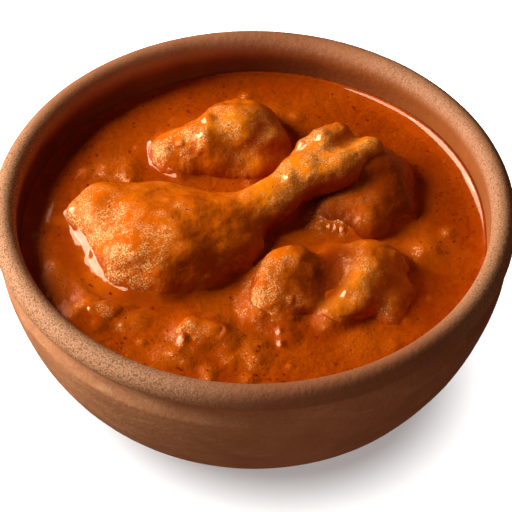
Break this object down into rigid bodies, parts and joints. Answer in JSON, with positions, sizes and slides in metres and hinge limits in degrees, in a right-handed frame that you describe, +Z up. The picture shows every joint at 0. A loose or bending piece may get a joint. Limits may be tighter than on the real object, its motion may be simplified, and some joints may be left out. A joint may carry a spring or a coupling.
{
  "type": "chicken curry in a clay bowl",
  "caption": "Round clay bowl with a rolled lip, filled with thick gravy; a chicken drumstick and other pieces lie half sunk in it.",
  "frame": {"origin": "centre of the flat foot that the bowl stands on", "axes": "+Z up out of the bowl, +Y towards its back, +X towards the side where the drumstick's ankle lies"},
  "size_m": [0.2, 0.2, 0.0819],
  "materials": {
    "unglazed_clay": "unglazed terracotta, sandy at the lip, faint throwing lines",
    "curry_gravy": "wet, oily orange-brown gravy with dark spice flakes",
    "sauced_chicken": "cooked chicken under a wet, grainy coat of curry"
  },
  "bodies": {
    "root": {"bowl": "unglazed_clay", "gravy": "curry_gravy", "drumstick": "sauced_chicken", "thigh": "sauced_chicken", "back_piece": "sauced_chicken", "front_piece": "sauced_chicken", "small_piece_front": "sauced_chicken", "small_piece_left": "sauced_chicken"}
  },
  "joints": []
}
